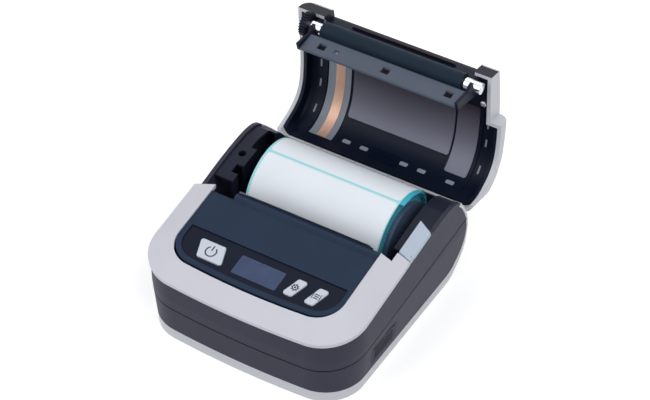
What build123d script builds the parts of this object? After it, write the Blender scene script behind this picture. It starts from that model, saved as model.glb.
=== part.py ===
from build123d import *
import os
from math import cos, pi, radians, sin, tan

# Portable receipt printer with a clamshell lid, shown open.
# Origin: centre of the resting plane. +X right, +Y back, +Z up. Millimetres.

# Body
body_width = 118.0
body_depth = 123.5
half_body = body_width / 2
half_depth = body_depth / 2
corner_radius = 23.0
rear_corner_radius = 12.0
front_bow_radius = 500.0
wall = 2.2
base_inset = 2.0
taper_height = 28.0
foot_proud = 0.25
rim_height = 6.6
floor_thickness = 2.0
rear_skin = 2.0
rear_curve_radius = 20.0
seam_height = 28.1
seam_slope = 6.0
seam_gap = 0.3
joint_gap = 0.15

# Sloping front: frame, panel and fascia
panel_slope = 10.2
frame_base_height = 49.4
frame_lip = 2.2
frame_rise = 7.5
frame_thickness = 2.2
frame_overhang = 0.4
frame_side = 12.2
arm_end = -5.0
lever_seam = 0.8
window_width = body_width - 2 * frame_side
half_window = window_width / 2
window_front = 10.15 - half_depth
window_corner = 14.4
window_bow_radius = 414.0
panel_drop = 0.8
panel_thickness = 2.4
fascia_border = 3.0
fascia_drop = 0.6
fascia_thickness = 1.2
ridge_line = -5.2
ridge_width = 2.4
ridge_height = 0.9
ridge_wall = 1.4
ridge_skirt = 7.0
ear_notch_width = 12.6
ear_notch_depth = 3.4

# Where the lid meets the body: places along the rim as shares of its length, heights as shares of the frame's
rim_shares = [
    (0.0, 0.923077),
    (0.254682, 1.010121),
    (0.464419, 1.064777),
    (0.644195, 1.089069),
    (0.779026, 1.064777),
    (0.868914, 0.983806),
    (0.93633, 0.862348),
    (0.982772, 0.728745),
]
skin_top = half_depth - 11.75

# Buttons and display, on the fascia; places across are shares of half the window
button_line = window_front + 11.9
fascia_rear = button_line + 9.7
button_length = 10.4
button_skew = 3.6
button_proud = 0.6
button_corner = 1.3
button_edge = 0.35
button_gap = 0.2
button_travel = 0.6
button_flange = 0.9
power_x = -0.56624 * half_window
power_width = 14.2
menu_x = 0.44017 * half_window
feed_x = 0.69017 * half_window
key_width = 5.5
display_x = 0.2
display_width = 0.26709 * window_width
display_length = 11.6
lens_thickness = 0.8
key_board_depth = 3.9
key_board_length = window_width - 15.6
key_board_width = 12.0
switch_height = 0.6
switch_radius = 1.8

# Release lever
lever_inner = half_body - 6.5
lever_rear = 21.0
lever_lift = 10.0
lever_pin_radius = 0.8
lever_pin_setback = 2.6
lever_pin_rise = 0.9
lever_gap = 0.25
lever_ear_x = half_body - 2.1
lever_ear_thickness = 1.3
lever_ear_radius = 1.5

# Lid
hinge_y = half_depth + 3.5
hinge_z = frame_base_height - 17.9
lid_open = 98.0
lid_width = body_width - 1.0
half_lid = lid_width / 2
lid_gap = 0.3
lid_edge = -0.2
shoulder_radius = 6.0
shell_thickness = 2.0
liner_thickness = 1.8
ear_wall = 1.6
notch_wall = 2.0
barrel_radius = 3.2
hinge_pin_radius = 1.2
running_gap = 0.05
knuckle_pitch = body_width / 5.9
knuckle_gap = 0.4
lid_corner = 9.0
liner_gap = 0.1
lever_notch_rear = lever_rear + 3.0
lever_notch_inner = lever_inner - lid_gap
crown_front_height = frame_base_height + 6.2
crown_reach = half_depth + 6.0 - arm_end - lid_gap
# Radius as a share of the crown's reach, then its first and last tangent angles
crown_bends = [(3.837129, 18.0, 14.0), (1.540373, 14.0, 0.0), (0.441684, 0.0, -25.0), (0.31746, -25.0, -90.0)]
strip_left = 14.0 - half_lid
strip_width = 13.5
strip_thickness = 0.4
strip_front = 9.0
strip_rear = half_depth + 2.0
flex_left = strip_left + 4.5
flex_width = 5.5
flex_thickness = 0.2

# Paper bay, roll and guides
roll_front = 5.3
roll_rear_room = 6.05
roll_radius = (half_depth - roll_rear_room - roll_front) / 2
roll_y = roll_front + roll_radius
roll_z = roll_radius + 7.8
roll_length = body_width - 42.0
core_radius = 8.4
core_thickness = 1.2
bay_half_width = roll_length / 2 + 8.0
bay_clearance = 0.9
bay_thickness = 1.1
bay_lip = 22.0
bay_front = 8.5
deck_drop = 0.9
deck_thickness = 1.5
deck_hole_radius = 2.0
guide_gap = 0.4
guide_thickness = 2.2
guide_radius = roll_radius - 5.2
guide_travel = 4.0
guide_boss_radius = 8.0
guide_boss_length = 3.0
guide_boss_wall = 1.6
slot_front = 5.8
slot_width = 2.4
rack_low = 3.0
rack_teeth = 24
rack_module = 0.42
rack_thickness = 1.5

# Printing mechanism, in the place it takes with the lid closed
platen_y = 0.2
platen_z = frame_base_height - 6.9
platen_radius = 4.6
platen_length = roll_length + 4.0
shaft_radius = 2.0
bush_radius = 3.0
plate_inner = platen_length / 2 + 2.0
plate_thickness = 1.2
plate_top = platen_z + 3.0
seat_rear = 0.6
crossbar_rear = -12.0
crossbar_height = 9.0
cheek_inner = plate_inner + 2.2
cheek_thickness = 1.6
ear_inner = plate_inner + 0.5
notch_gap = 0.3
gear_module = 0.5
gear_teeth = 24
pinion_teeth = 12
gear_thickness = 3.2
gear_plane = -plate_inner - 9.6
shaft_left = gear_plane - 0.6
shaft_right = plate_inner + 8.0
mesh_slack = 0.15
drive_angle = 218.0
idler_angle = 250.0
motor_angle = 180.0
motor_radius = 9.5
motor_length = 15.0
stud_radius = 1.0
head_length = 2 * plate_inner - 2.0
head_gap = 0.1
head_thickness = 1.2
head_height = 8.6
sink_thickness = 3.0
bracket_low = (4.2, platen_z - 16.0)
bracket_high = (1.2, platen_z - 5.6)
bracket_thickness = 1.2

# Tear bar
tear_bar_left = 9.0 - ear_inner
tear_bar_right = ear_inner - 0.3
tear_bar_height = 7.4
tear_bar_thickness = 0.6
tear_bar_lift = 0.5

# Electronics and small parts
battery_width = body_width - 52.0
battery_length = 36.0
battery_room = 3.5
battery_x = -6.0
battery_y = 29.75 - half_depth
latch_travel = 2.5
tongue_depth = 1.4
board_width = 24.0
board_rear = -12.1
board_length = half_depth - 18.65 + board_rear
board_x = half_body - 17.0
board_y = board_rear - board_length / 2
board_z = 21.0
board_thickness = 1.2
post_radius = 2.2
port_front = -32.0
port_rear = -8.6
port_low = 9.5
port_high = 21.0
port_thickness = 2.0
foot_radius = 4.0
foot_x = half_body - 12.0
foot_front_y = 23.75 - half_depth
foot_rear_y = half_depth - 27.75
foot_depth = 0.8

slope = tan(radians(panel_slope))
window_base_height = frame_base_height + frame_rise
panel_top_height = window_base_height - panel_drop
seam_rise = tan(radians(seam_slope))
lever_outer = half_body + frame_overhang
lever_front = lever_seam + lever_gap
lever_pin_y = lever_front + lever_pin_setback
lever_pin_z = frame_base_height + slope * lever_pin_y + lever_pin_rise
tall = 90.0
wide = 90.0

side_plane = Plane.YZ
hinge_axis = Axis((0, hinge_y, hinge_z), (1, 0, 0))


def tilted(height, offset=0.0):
    """A plane parallel to the sloping front, through z = height at y = 0."""
    normal = (0, -sin(radians(panel_slope)), cos(radians(panel_slope)))
    return Plane(origin=(0, 0, height), x_dir=(1, 0, 0), z_dir=normal).offset(offset)


def lever_floor(y):
    """Height of the seat under the release lever."""
    return frame_base_height + slope * y - seam_gap


def along_slope(y):
    """Distance along the sloping front for a plan position y."""
    return y / cos(radians(panel_slope))


def write(piece, name):
    """Label a finished piece and write it as its own file."""
    piece.part.label = name
    export_step(piece.part, f"parts/{name}.step")


def swing_open(piece):
    """Turn a piece of the lid from closed to open, which is the rest pose."""
    piece.part = piece.part.rotate(hinge_axis, -lid_open)


def plan_outline(half_width, front, rear, front_corner, rear_corner, bow_radius):
    """Plan view with a bowed front and rounded corners."""
    bow = half_width**2 / (2 * bow_radius)
    with BuildLine() as outline:
        ThreePointArc((-half_width, front + bow), (0, front), (half_width, front + bow))
        Polyline(
            (half_width, front + bow), (half_width, rear), (-half_width, rear), (-half_width, front + bow)
        )
    make_face(outline.edges())
    fillet(vertices().group_by(Axis.Y)[0], front_corner)
    if rear_corner > 0:
        fillet(vertices().group_by(Axis.Y)[-1], rear_corner)


def rim_points():
    """The curve that the lid closes on, from the front arm to the hinge, as (y, z)."""
    reach = half_depth - arm_end
    curve = [(arm_end + share * reach, height * frame_base_height) for share, height in rim_shares]
    return [*curve, (half_depth, hinge_z - 1.0)]


def body_side(rear, bottom, curve):
    """Side view of the body, in y and z: flat base, curved heel, rim curve and sloping front."""
    front_y = -half_depth - 6
    rim = [(min(y, rear), z) for y, z in rim_points()]
    with BuildLine() as outline:
        low = Line((front_y, bottom), (rear - curve, bottom))
        RadiusArc(low @ 1, (rear, bottom + curve), -curve)
        Line((rear, bottom + curve), rim[-1])
        Spline(*rim[::-1])
        Polyline(
            rim[0],
            (arm_end, frame_base_height + slope * arm_end),
            (front_y, frame_base_height + slope * front_y),
            (front_y, bottom),
        )
    make_face(outline.edges())


# Whole body volume, from which the shells are cut
with BuildPart() as envelope:
    with BuildSketch(Plane.XY.offset(foot_proud)):
        plan_outline(
            half_body - base_inset,
            -half_depth + base_inset,
            half_depth,
            corner_radius - base_inset,
            rear_corner_radius,
            front_bow_radius,
        )
    with BuildSketch(Plane.XY.offset(taper_height)):
        plan_outline(half_body, -half_depth, half_depth, corner_radius, rear_corner_radius, front_bow_radius)
    loft(ruled=True)
    with BuildSketch(Plane.XY.offset(taper_height)):
        plan_outline(half_body, -half_depth, half_depth, corner_radius, rear_corner_radius, front_bow_radius)
    extrude(amount=tall - taper_height)
    with BuildSketch(side_plane):
        body_side(half_depth, foot_proud, rear_curve_radius)
    extrude(amount=wide, both=True, mode=Mode.INTERSECT)

# Dark core: what is left inside the light base tray and rear skin
with BuildPart() as dark_core:
    with BuildSketch(side_plane):
        with BuildLine():
            core_rear = half_depth - rear_skin
            core_curve = rear_curve_radius - rear_skin
            low = Line((-half_depth - 6, rim_height), (core_rear - core_curve, rim_height))
            RadiusArc(low @ 1, (core_rear, rim_height + core_curve), -core_curve)
            inner_rim = [(y - rear_skin, z) for y, z in rim_points() if y > skin_top]
            Line((core_rear, rim_height + core_curve), inner_rim[-1])
            Spline(*inner_rim[::-1])
            Polyline(inner_rim[0], (inner_rim[0][0], tall), (-half_depth - 6, tall), low @ 0)
        make_face()
    extrude(amount=wide, both=True)

# Cavity inside the walls
with BuildPart() as cavity:
    with BuildSketch(Plane.XY.offset(foot_proud + floor_thickness)):
        plan_outline(
            half_body - base_inset - wall,
            -half_depth + base_inset + wall,
            half_depth - rear_skin - wall,
            corner_radius - base_inset - wall,
            rear_corner_radius - wall,
            front_bow_radius,
        )
    with BuildSketch(Plane.XY.offset(taper_height)):
        plan_outline(
            half_body - wall,
            -half_depth + wall,
            half_depth - rear_skin - wall,
            corner_radius - wall,
            rear_corner_radius - wall,
            front_bow_radius,
        )
    loft(ruled=True)
    with BuildSketch(Plane.XY.offset(taper_height)):
        plan_outline(
            half_body - wall,
            -half_depth + wall,
            half_depth - rear_skin - wall,
            corner_radius - wall,
            rear_corner_radius - wall,
            front_bow_radius,
        )
    extrude(amount=tall - taper_height)
    with BuildSketch(side_plane):
        with BuildLine():
            inner_rear = half_depth - rear_skin - wall
            inner_curve = rear_curve_radius - rear_skin - wall
            floor = foot_proud + floor_thickness
            flat = Line((-half_depth - 6, floor), (inner_rear - inner_curve, floor))
            RadiusArc(flat @ 1, (inner_rear, floor + inner_curve), -inner_curve)
            Polyline((inner_rear, floor + inner_curve), (inner_rear, tall), (-half_depth - 6, tall), flat @ 0)
        make_face()
    extrude(amount=wide, both=True, mode=Mode.INTERSECT)

def knuckle_places(owner):
    """Middles of the hinge knuckles along X: three on the lid, two on the body."""
    return (-2 * knuckle_pitch, 0, 2 * knuckle_pitch) if owner == "lid" else (-knuckle_pitch, knuckle_pitch)


def add_knuckles(owner, bridge):
    """Hinge knuckles with their bridges, bored for the pin."""
    for middle in knuckle_places(owner):
        with BuildSketch(Plane.YZ.offset(middle - (knuckle_pitch - knuckle_gap) / 2)) as knuckle:
            with Locations((hinge_y, hinge_z)):
                Circle(barrel_radius)
            Polygon(*bridge, align=None)
            with Locations((hinge_y, hinge_z)):
                Circle(hinge_pin_radius + running_gap, mode=Mode.SUBTRACT)
        extrude(knuckle.sketch, amount=knuckle_pitch - knuckle_gap)


def clear_knuckles(owner):
    """Room in one half of the hinge for the other half's knuckles."""
    for middle in knuckle_places(owner):
        with BuildSketch(Plane.YZ.offset(middle - (knuckle_pitch + knuckle_gap) / 2)) as room:
            with Locations((hinge_y, hinge_z)):
                Circle(barrel_radius + lid_gap)
        extrude(room.sketch, amount=knuckle_pitch + knuckle_gap, mode=Mode.SUBTRACT)


seam_normal = (0, -sin(radians(seam_slope)), cos(radians(seam_slope)))
seam_low = Plane(origin=(0, 0, seam_height - seam_gap / 2), x_dir=(1, 0, 0), z_dir=seam_normal)
seam_high = Plane(origin=(0, 0, seam_height + seam_gap / 2), x_dir=(1, 0, 0), z_dir=seam_normal)

os.makedirs("parts", exist_ok=True)


def seat_points():
    """Places of the four feet, and of the housing screws beside them."""
    return [(x, y) for x in (-foot_x, foot_x) for y in (foot_front_y, foot_rear_y)]


# Battery bay in the floor, where the pack drops in from below
bay_low_y = battery_y - battery_length / 2
bay_high_y = battery_y + battery_length / 2

with BuildPart() as base_tray:
    add(envelope.part)
    add(dark_core.part, mode=Mode.SUBTRACT)
    add(cavity.part, mode=Mode.SUBTRACT)
    with BuildSketch(Plane.XY.offset(foot_proud)):
        with Locations(*seat_points()):
            Circle(foot_radius + joint_gap)
    extrude(amount=foot_depth, mode=Mode.SUBTRACT)
    with BuildSketch(Plane.XY):
        with Locations((battery_x, battery_y)):
            RectangleRounded(battery_width, battery_length, 3)
    extrude(amount=rim_height, mode=Mode.SUBTRACT)
    with BuildSketch(Plane.XY):
        with Locations((battery_x, bay_high_y + 5)):
            Rectangle(14, 6)
    extrude(amount=rim_height, mode=Mode.SUBTRACT)
    with BuildSketch(Plane.XY.offset(foot_proud + floor_thickness)):
        with Locations((board_x, board_y)):
            with GridLocations(board_width - 12, board_length - 6, 2, 2):
                Circle(post_radius)
    extrude(amount=board_z - foot_proud - floor_thickness)
    with BuildSketch(Plane.XY.offset(foot_proud + floor_thickness)):
        with Locations((0, roll_y)):
            Circle(stud_radius)
    extrude(amount=3.0)
    skin_inner = half_depth - rear_skin + 0.4
    tray_bridge = [
        (skin_inner, hinge_z - 9),
        (skin_inner, hinge_z - 1.6),
        (hinge_y - barrel_radius + 0.6, hinge_z),
        (hinge_y, hinge_z),
        (hinge_y + 1.4, hinge_z - 2.8),
    ]
    add_knuckles("body", tray_bridge)
write(base_tray, "base_tray")

with BuildPart() as rubber_feet:
    with BuildSketch(Plane.XY):
        with Locations(*seat_points()):
            Circle(foot_radius)
    extrude(amount=foot_proud + foot_depth)
write(rubber_feet, "rubber_feet")

# The port opening in the right wall, and the rubber cover that fills it
port_mid_y = (port_front + port_rear) / 2
port_mid_z = (port_low + port_high) / 2
port_plane = Plane(origin=(half_body, port_mid_y, port_mid_z), x_dir=(0, 1, 0), z_dir=(1, 0, 0))

with BuildPart() as lower_housing:
    add(envelope.part)
    add(dark_core.part, mode=Mode.INTERSECT)
    add(cavity.part, mode=Mode.SUBTRACT)
    split(bisect_by=seam_low, keep=Keep.BOTTOM)
    with BuildSketch(port_plane):
        RectangleRounded(port_rear - port_front, port_high - port_low, 2)
    extrude(amount=wall * 3, both=True, mode=Mode.SUBTRACT)
write(lower_housing, "lower_housing")

with BuildPart() as port_cover:
    add(envelope.part)
    with BuildSketch(port_plane):
        RectangleRounded(
            port_rear - port_front - 2 * joint_gap, port_high - port_low - 2 * joint_gap, 2 - joint_gap
        )
    extrude(amount=wall * 3, both=True, mode=Mode.INTERSECT)
    with BuildSketch(Plane.YZ.offset(half_body - base_inset - port_thickness)):
        with Locations((port_mid_y, port_mid_z)):
            Rectangle(wide, wide)
    extrude(amount=-wide, mode=Mode.SUBTRACT)
write(port_cover, "port_cover")

with BuildPart() as upper_housing:
    add(envelope.part)
    add(dark_core.part, mode=Mode.INTERSECT)
    add(cavity.part, mode=Mode.SUBTRACT)
    split(bisect_by=seam_high, keep=Keep.TOP)
    with BuildSketch(side_plane.offset(lever_inner + joint_gap)):
        seat_end = lever_notch_rear - lid_gap
        Polygon(
            (arm_end, lever_floor(arm_end) - 5),
            (seat_end, lever_floor(seat_end) - 5),
            (seat_end, lever_floor(seat_end)),
            (arm_end, lever_floor(arm_end)),
            align=None,
        )
    extrude(amount=half_body - lever_inner - joint_gap)
    with BuildSketch(side_plane.offset(lever_ear_x)):
        with Locations((lever_pin_y, lever_pin_z)):
            Circle(lever_ear_radius)
            Rectangle(2 * lever_ear_radius, lever_pin_rise + 1.5, align=(Align.CENTER, Align.MAX))
            Circle(lever_pin_radius + running_gap, mode=Mode.SUBTRACT)
    extrude(amount=lever_ear_thickness)
write(upper_housing, "upper_housing")


def window_outline(inset, rear):
    """Outline of the window inside the light frame, drawn along the slope."""
    plan_outline(
        half_window - inset,
        along_slope(window_front + inset),
        along_slope(rear),
        window_corner - inset,
        0,
        window_bow_radius,
    )


# Light frame: a low lip, then a slope up to the window
with BuildPart() as frame_block:
    with BuildSketch(tilted(frame_base_height)):
        plan_outline(
            half_body + frame_overhang,
            along_slope(-half_depth - frame_overhang * 2),
            along_slope(lever_seam),
            corner_radius,
            0,
            front_bow_radius,
        )
    extrude(amount=frame_lip)
    with BuildSketch(tilted(frame_base_height, frame_lip)):
        plan_outline(
            half_body + frame_overhang,
            along_slope(-half_depth - frame_overhang * 2),
            along_slope(lever_seam),
            corner_radius,
            0,
            front_bow_radius,
        )
    with BuildSketch(tilted(window_base_height)):
        window_outline(0, lever_seam)
    loft(ruled=True)

with BuildPart() as front_frame:
    add(frame_block.part)
    add(frame_block.part.moved(Location((0, 0, -frame_thickness))), mode=Mode.SUBTRACT)
    with BuildSketch(tilted(frame_base_height)):
        window_outline(0, arm_end + 10)
    extrude(amount=frame_rise * 2, both=True, mode=Mode.SUBTRACT)
    with BuildSketch(Plane.XY):
        with Locations(((lever_inner - wide) / 2, arm_end + wide / 2)):
            Rectangle(lever_inner + wide, wide)
    extrude(amount=wide, mode=Mode.SUBTRACT)
write(front_frame, "front_frame")


def button_shape(width, lean, grow=0.0):
    """A key cap seen along the slope: a parallelogram whose front end leans by lean."""
    half_length = button_length / cos(radians(panel_slope)) / 2
    half_width = width / 2
    Polygon(
        (-half_width - lean / 2, half_length),
        (half_width - lean / 2, half_length),
        (half_width + lean / 2, -half_length),
        (-half_width + lean / 2, -half_length),
        align=None,
    )
    if grow > 0:
        offset(amount=grow, kind=Kind.INTERSECTION)
    fillet(vertices(), button_corner + grow)


fascia_plane = tilted(panel_top_height, -fascia_drop)
key_places = {
    "power_button": (power_x, power_width, button_skew),
    "menu_button": (menu_x, key_width, -button_skew),
    "feed_button": (feed_x, key_width, -button_skew),
}


def on_fascia(x, height=0.0):
    """A plane over the fascia, centred on a key or the display."""
    fascia = fascia_plane.offset(height)
    rise = fascia.origin.Z + slope * button_line - fascia.origin.Y * slope
    return Plane(origin=(x, button_line, rise), x_dir=(1, 0, 0), z_dir=fascia.z_dir)


with BuildPart() as fascia:
    with BuildSketch(fascia_plane):
        window_outline(fascia_border + joint_gap, fascia_rear - joint_gap)
    extrude(amount=-fascia_thickness)
    for key_x, width, lean in key_places.values():
        with BuildSketch(on_fascia(key_x)) as key_hole:
            button_shape(width, lean, button_gap)
        extrude(amount=-fascia_thickness * 2, mode=Mode.SUBTRACT)
    with BuildSketch(on_fascia(display_x)):
        RectangleRounded(display_width, display_length, 1)
    extrude(amount=-fascia_thickness * 2, mode=Mode.SUBTRACT)
write(fascia, "fascia")

with BuildPart() as display_window:
    with BuildSketch(on_fascia(display_x, -0.1)):
        RectangleRounded(display_width - 2 * joint_gap, display_length - 2 * joint_gap, 1 - joint_gap)
    extrude(amount=-lens_thickness)
write(display_window, "display_window")

for name, (key_x, width, lean) in key_places.items():
    with BuildPart() as key_cap:
        with BuildSketch(on_fascia(key_x, button_proud)):
            button_shape(width, lean)
        extrude(amount=-button_proud - fascia_thickness - 1.0)
        with BuildSketch(on_fascia(key_x, -fascia_thickness - button_travel - 0.2)):
            button_shape(width, lean, button_flange)
        extrude(amount=-button_travel)
        top_edges = edges().group_by(Axis(fascia_plane.origin, fascia_plane.z_dir))[-1]
        chamfer(top_edges, button_edge)
    write(key_cap, name)

# Slate panel with its fascia recess, rear ridge and skirt
with BuildPart() as top_panel:
    with BuildSketch(tilted(panel_top_height)):
        window_outline(joint_gap, ridge_line - ridge_wall / 2)
    extrude(amount=-panel_thickness)
    with BuildSketch(tilted(panel_top_height)):
        window_outline(fascia_border, fascia_rear)
    extrude(amount=-fascia_drop - fascia_thickness - joint_gap / 3, mode=Mode.SUBTRACT)
    with BuildSketch(tilted(panel_top_height)):
        window_outline(fascia_border + 1.2, fascia_rear - 1.5)
    extrude(amount=-panel_thickness * 2, mode=Mode.SUBTRACT)
    with BuildSketch(side_plane):
        ridge_z = panel_top_height + slope * ridge_line
        with BuildLine():
            Polyline(
                (ridge_line - ridge_width - 1.2, ridge_z - 0.6),
                (ridge_line - ridge_width, ridge_z + ridge_height),
                (ridge_line, ridge_z + ridge_height),
                (ridge_line, ridge_z - ridge_skirt),
                (ridge_line - ridge_wall, ridge_z - ridge_skirt),
                (ridge_line - ridge_wall, ridge_z - 0.6),
                close=True,
            )
        make_face()
    extrude(amount=half_window - joint_gap, both=True)
    with BuildSketch(Plane.XY.offset(ridge_z - ridge_skirt)):
        with Locations((-half_window + joint_gap + ear_notch_width / 2, ridge_line)):
            Rectangle(ear_notch_width, ear_notch_depth * 2)
    extrude(amount=ridge_skirt * 2, mode=Mode.SUBTRACT)
write(top_panel, "top_panel")


# Tear bar on the rear face of the ridge
ridge_top = panel_top_height + slope * ridge_line + ridge_height
with BuildPart() as tear_bar:
    with BuildSketch(Plane.XZ.offset(-ridge_line)):
        with Locations(((tear_bar_right + tear_bar_left) / 2, ridge_top + tear_bar_lift)):
            Rectangle(tear_bar_right - tear_bar_left, tear_bar_height, align=(Align.CENTER, Align.MAX))
    extrude(amount=-tear_bar_thickness)
write(tear_bar, "tear_bar")

# Release lever: it continues the right arm of the frame, hinged under the seam
with BuildPart() as release_lever:
    with BuildSketch(tilted(frame_base_height)) as lever_plan:
        with BuildLine():
            Polyline(
                (lever_inner + lever_gap, along_slope(lever_front)),
                (lever_outer, along_slope(lever_front)),
                (lever_outer, along_slope(lever_rear - 0.5)),
                (lever_inner + lever_gap, along_slope(lever_rear + 2.0)),
                close=True,
            )
        make_face()
    extrude(amount=frame_rise)
    with BuildSketch(Plane.XZ.offset(-lever_seam)):
        with BuildLine():
            arm_base = frame_base_height + slope * lever_seam
            arm_slope = (lever_outer - lever_inner) / (lever_outer - half_window)
            inner_rise = frame_lip + (frame_rise - frame_lip) * arm_slope
            Polyline(
                (lever_inner, arm_base - 1),
                (lever_outer, arm_base - 1),
                (lever_outer, arm_base + frame_lip),
                (lever_inner, arm_base + inner_rise),
                close=True,
            )
        make_face()
    slope_direction = (0, cos(radians(panel_slope)), sin(radians(panel_slope)))
    extrude(amount=lever_rear * 1.4, dir=slope_direction, mode=Mode.INTERSECT)
    with BuildSketch(Plane.YZ.offset(lever_inner)):
        lean = tan(radians(lever_lift)) * tall / 2
        lever_underside = lever_pin_z - lever_pin_rise
        Polygon(
            (lever_front, lever_pin_z),
            (lever_front + lean, lever_pin_z + tall / 2),
            (lever_front - tall, lever_pin_z + tall / 2),
            (lever_front - tall, lever_pin_z),
            align=None,
        )
        toe_rise = slope + tan(radians(lever_lift + 1.0))
        toe = lever_pin_y - lever_front + 1.0
        Polygon(
            (lever_pin_y, lever_underside),
            (lever_pin_y, lever_underside - 2.0),
            (lever_pin_y - toe, lever_underside - 2.0),
            (lever_pin_y - toe, lever_underside - slope * toe + (toe_rise - slope) * toe),
            align=None,
        )
        with Locations((lever_pin_y, lever_pin_z)):
            Circle(lever_pin_radius + running_gap)
    extrude(amount=half_body, mode=Mode.SUBTRACT)
    with BuildSketch(Plane.YZ.offset(lever_ear_x - lever_gap)):
        with Locations((lever_pin_y, lever_pin_z)):
            Circle(lever_ear_radius + lever_gap)
            Rectangle(2 * (lever_ear_radius + lever_gap), tall, align=(Align.CENTER, Align.MAX))
    extrude(amount=lever_ear_thickness + 2 * lever_gap, mode=Mode.SUBTRACT)
write(release_lever, "release_lever")

with BuildPart() as lever_pin:
    with BuildSketch(Plane.YZ.offset(lever_inner + lever_gap)):
        with Locations((lever_pin_y, lever_pin_z)):
            Circle(lever_pin_radius)
    extrude(amount=lever_outer - lever_inner - 2 * lever_gap)
write(lever_pin, "lever_pin")


# Lid, drawn closed and then turned open about the hinge
def crown_arcs(inset):
    """The lid's top in side view, as tangent arcs from front to hinge, moved inward by inset."""
    y = arm_end + lid_gap
    z = crown_front_height
    arcs = []
    for share, first, last in crown_bends:
        radius = share * crown_reach
        centre = (y + radius * sin(radians(first)), z - radius * cos(radians(first)))
        points = []
        for angle in (first, (first + last) / 2, last):
            reach = radius - inset
            points.append((centre[0] + reach * sin(radians(-angle)), centre[1] + reach * cos(radians(angle))))
        arcs.append(points)
        y = centre[0] + radius * sin(radians(-last))
        z = centre[1] + radius * cos(radians(last))
    return arcs


def lid_volume(inset, floor_z):
    """The lid's volume moved inward by inset, with rounded shoulders and rear corners."""
    half = half_lid - inset
    arcs = crown_arcs(inset)
    start = arcs[0][0]
    end = arcs[-1][2]
    front_y = arm_end + lid_gap + inset
    with BuildPart() as volume:
        with BuildSketch(side_plane.offset(-half)):
            with BuildLine():
                for first, middle, last in arcs:
                    ThreePointArc(first, middle, last)
                Polyline(end, (end[0], floor_z), (start[0], floor_z), start)
            make_face()
        extrude(amount=2 * half)
        fillet(edges().filter_by(GeomType.CIRCLE), shoulder_radius - inset)
        with BuildSketch(Plane.XY.offset(floor_z)):
            with Locations((0, end[0])):
                RectangleRounded(2 * half, 4 * half, lid_corner - inset, align=(Align.CENTER, Align.MAX))
            with Locations((0, front_y)):
                Rectangle(2 * wide, 4 * half, align=(Align.CENTER, Align.MAX), mode=Mode.SUBTRACT)
        extrude(amount=tall, mode=Mode.INTERSECT)
    return volume.part


# What the lid stays above: the rim curve and a little more
with BuildPart() as rim_cutter:
    with BuildSketch(side_plane.offset(-wide)):
        with BuildLine():
            rim = [(y + lid_gap, z + lid_gap) for y, z in rim_points()]
            rim[0] = (arm_end - 10, rim_points()[0][1] + lid_gap)
            Spline(*rim)
            Polyline(rim[-1], (rim[-1][0], -10), (arm_end - 10, -10), rim[0])
        make_face()
    extrude(amount=2 * wide)


def clear_gear():
    """Room in the lid for the gear on the platen's end."""
    with BuildSketch(Plane.YZ.offset(gear_plane - 0.5)) as room:
        with Locations((platen_y, platen_z)):
            Circle(gear_module * gear_teeth / 2 + 1.0)
    extrude(room.sketch, amount=gear_thickness + 1.0, mode=Mode.SUBTRACT)


lid_floor = hinge_z + 2.0
with BuildPart() as lid_hollow:
    add(lid_volume(shell_thickness, hinge_z - 20))
    with BuildSketch(Plane.XY.offset(platen_z + platen_radius + 2)):
        with Locations((0, arm_end)):
            Rectangle(2 * (ear_inner + ear_wall), 6.8, align=(Align.CENTER, Align.MIN))
            Rectangle(2 * ear_inner, 20, align=(Align.CENTER, Align.CENTER), mode=Mode.SUBTRACT)
    extrude(amount=tall, mode=Mode.SUBTRACT)
    with BuildSketch(Plane.XY):
        with Locations((lever_notch_inner - notch_wall, lever_notch_rear + notch_wall)):
            Rectangle(wide, 2 * wide, align=(Align.MIN, Align.MAX))
    extrude(amount=tall, mode=Mode.SUBTRACT)

with BuildPart() as lid_shell:
    add(lid_volume(0, lid_floor))
    add(lid_hollow.part, mode=Mode.SUBTRACT)
    add(rim_cutter.part, mode=Mode.SUBTRACT)
    with BuildSketch(Plane.XY):
        with Locations((lever_notch_inner, lever_notch_rear)):
            Rectangle(wide, wide, align=(Align.MIN, Align.MAX))
        with Locations((0, lid_edge)):
            Rectangle(2 * ear_inner, wide, align=(Align.CENTER, Align.MAX))
    extrude(amount=tall, mode=Mode.SUBTRACT)
    crown_end = crown_arcs(0)[-1][2]
    lid_bridge = [
        (crown_end[0] - shell_thickness, hinge_z + 5),
        (crown_end[0], hinge_z + 5),
        (crown_end[0], hinge_z + 1),
        (hinge_y, hinge_z + 1),
    ]
    add_knuckles("lid", lid_bridge)
    clear_knuckles("body")
    clear_gear()
swing_open(lid_shell)
write(lid_shell, "lid_shell")

# Lid liner: dark inner shell with cheeks for the platen
with BuildPart() as cheeks:
    for side_x in (-cheek_inner - cheek_thickness, cheek_inner):
        with BuildSketch(side_plane.offset(side_x)):
            Polygon(
                (-2.4, platen_z - 4),
                (-2.4, platen_z + 17.5),
                (8, platen_z + 17.5),
                (6, platen_z - 15.5),
                (1.5, platen_z - 17.5),
                (0.5, platen_z - 6.5),
                align=None,
            )
            with Locations((platen_y, platen_z)):
                Circle(bush_radius + running_gap, mode=Mode.SUBTRACT)
        extrude(amount=cheek_thickness)
    add(lid_volume(shell_thickness + liner_gap, -20), mode=Mode.INTERSECT)

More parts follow.
